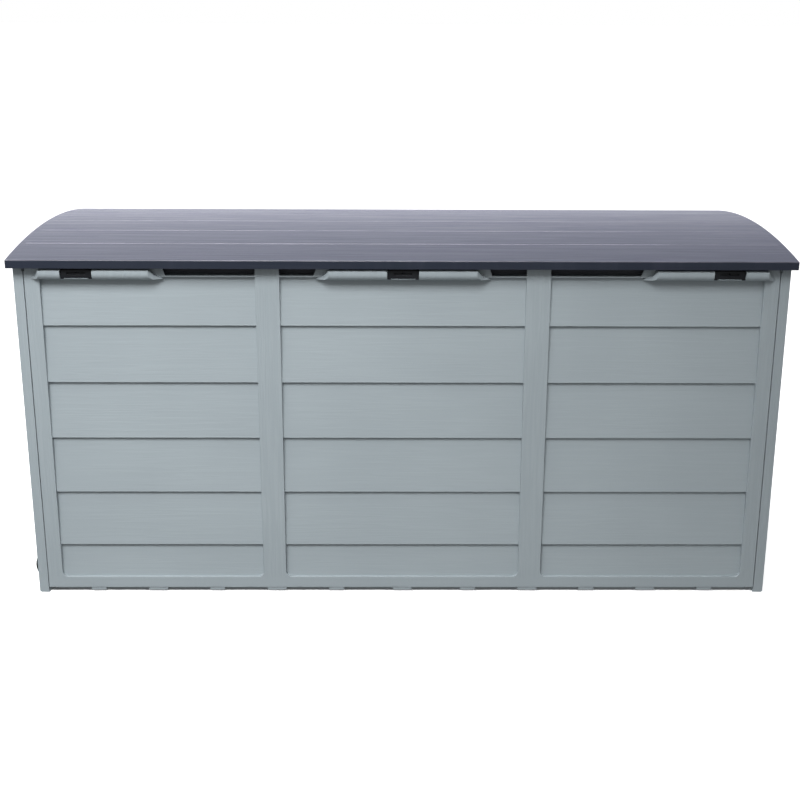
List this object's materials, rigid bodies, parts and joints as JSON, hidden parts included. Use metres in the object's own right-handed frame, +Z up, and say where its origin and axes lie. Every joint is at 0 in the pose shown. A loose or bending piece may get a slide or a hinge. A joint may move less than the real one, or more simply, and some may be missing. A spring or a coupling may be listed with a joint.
{
  "type": "deck storage box",
  "caption": "Long plastic deck box with lapped-board walls, an arched hinged lid, catches along the front and two wheels under one end.",
  "frame": {"origin": "on the floor, under the middle of the box", "axes": "+X along the box's length towards its right end, +Y towards the hinges at the back, +Z up; the front with the catches faces -Y and the wheels are at the -X end"},
  "size_m": [1.127, 0.49, 0.535],
  "materials": {
    "wall_plastic": "moulded light blue-grey plastic with a fine wood grain",
    "lid_plastic": "moulded dark blue-grey plastic with a fine wood grain and a low sheen",
    "black_plastic": "moulded black plastic",
    "steel": "zinc-plated"
  },
  "bodies": {
    "box": {"front_panel": "wall_plastic", "back_panel": "wall_plastic", "left_side_panel": "wall_plastic", "right_side_panel": "wall_plastic", "floor_panel": "wall_plastic", "catch_keeper_left": "black_plastic", "hinge_pin_left": "steel", "catch_keeper_centre": "black_plastic", "hinge_pin_centre": "steel", "catch_keeper_right": "black_plastic", "hinge_pin_right": "steel", "corner_clip_front_left": "wall_plastic", "corner_clip_front_right": "wall_plastic", "wheel_housing_front": "black_plastic", "axle_pin_front": "steel", "axle_cap_front": "black_plastic", "corner_clip_back_left": "wall_plastic", "corner_clip_back_right": "wall_plastic", "wheel_housing_back": "black_plastic", "axle_pin_back": "steel", "axle_cap_back": "black_plastic"},
    "lid": {"lid": "lid_plastic", "catch_tongue_left": "black_plastic", "catch_tongue_centre": "black_plastic", "catch_tongue_right": "black_plastic"},
    "front_wheel": {"wheel_front": "black_plastic"},
    "back_wheel": {"wheel_back": "black_plastic"}
  },
  "joints": [
    {"name": "lid_hinge", "type": "hinge", "parent": "box", "child": "lid", "pos_m": [0, 0.236, 0.497], "axis": [-1, 0, 0], "range_deg": [0, 100]},
    {"name": "front_wheel_spin", "type": "hinge", "parent": "box", "child": "front_wheel", "pos_m": [-0.538, -0.187, 0.031], "axis": [0, 1, 0], "continuous": true},
    {"name": "back_wheel_spin", "type": "hinge", "parent": "box", "child": "back_wheel", "pos_m": [-0.538, 0.187, 0.031], "axis": [0, 1, 0], "continuous": true}
  ]
}
